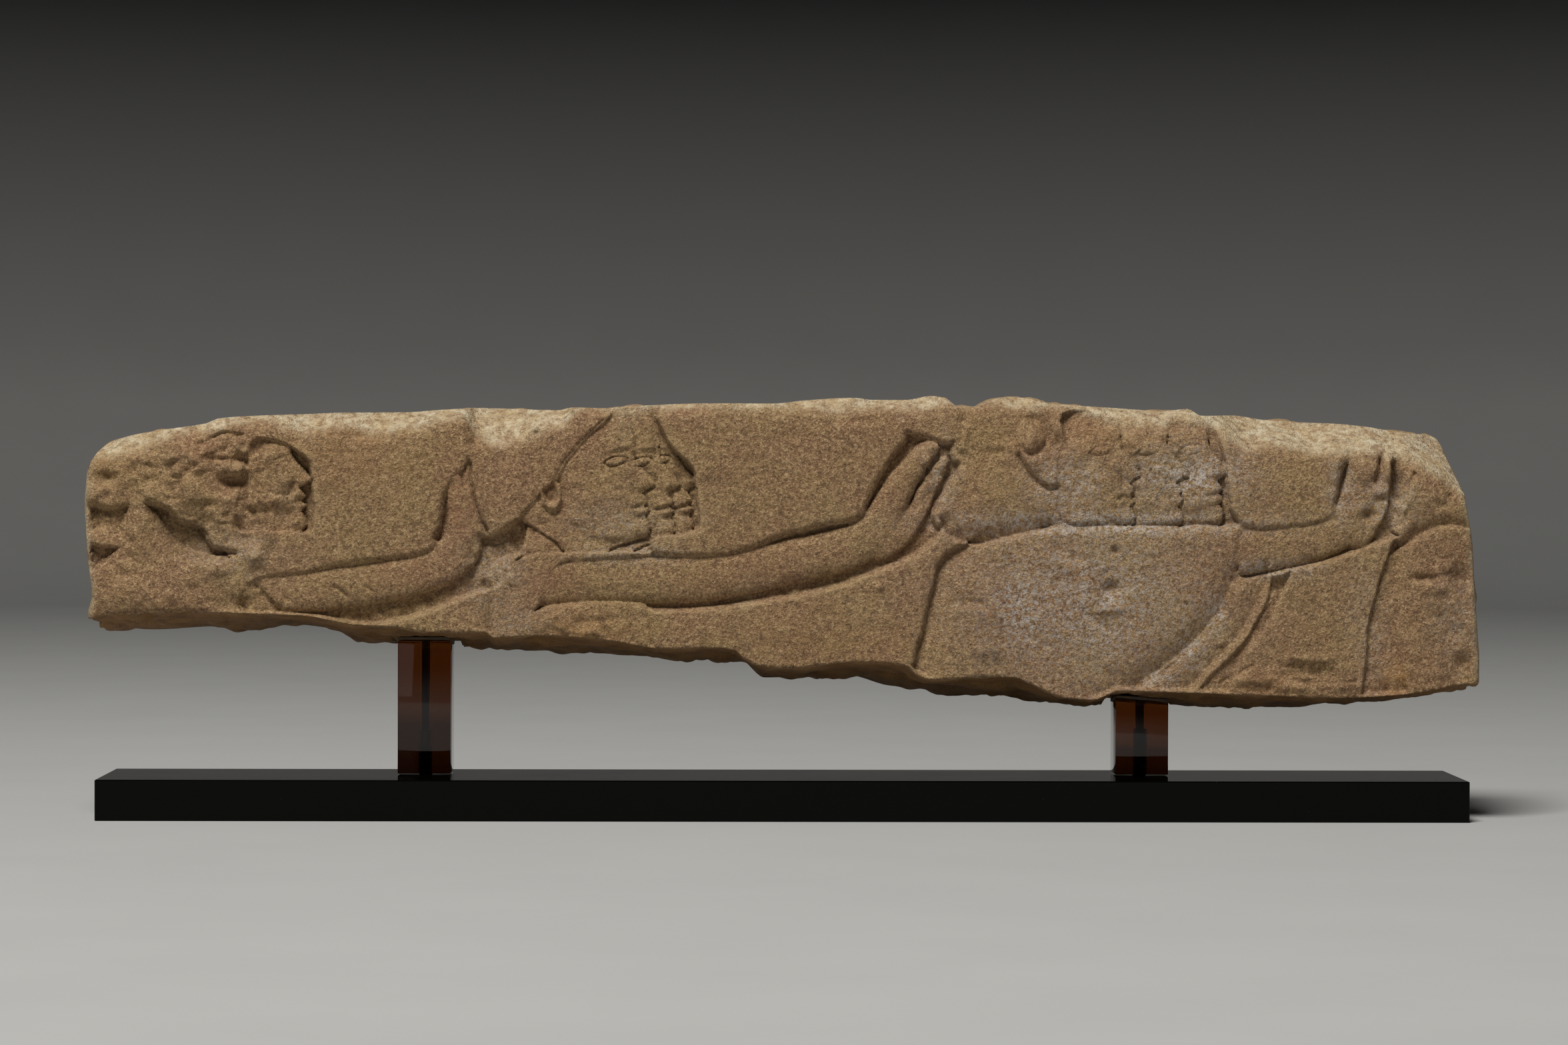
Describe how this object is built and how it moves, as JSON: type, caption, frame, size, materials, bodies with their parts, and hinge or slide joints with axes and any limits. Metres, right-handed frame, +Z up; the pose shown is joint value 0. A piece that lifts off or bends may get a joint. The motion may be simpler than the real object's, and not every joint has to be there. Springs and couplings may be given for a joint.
{
  "type": "stone relief panel",
  "caption": "Broken sandstone block carved in sunk relief with bowing figures, held on tinted posts above a black display bar.",
  "frame": {"origin": "centre of the display bar's underside, on the surface it stands on", "axes": "+Z up, +X along the bar to the right of a viewer who faces the carving, the carved face towards -Y"},
  "size_m": [0.408, 0.055, 0.1242],
  "materials": {
    "sandstone": "rough worn sandstone",
    "black_acrylic": "polished",
    "smoked_acrylic": "polished, tinted and see-through",
    "putty": "matt putty",
    "dark_steel": "blackened"
  },
  "bodies": {
    "root": {"relief_stone": "sandstone", "display_base": "black_acrylic", "post_left": "smoked_acrylic", "post_right": "smoked_acrylic", "putty_left": "putty", "putty_right": "putty", "pin_left": "dark_steel", "pin_right": "dark_steel", "screw_left": "dark_steel", "screw_right": "dark_steel"}
  },
  "joints": []
}
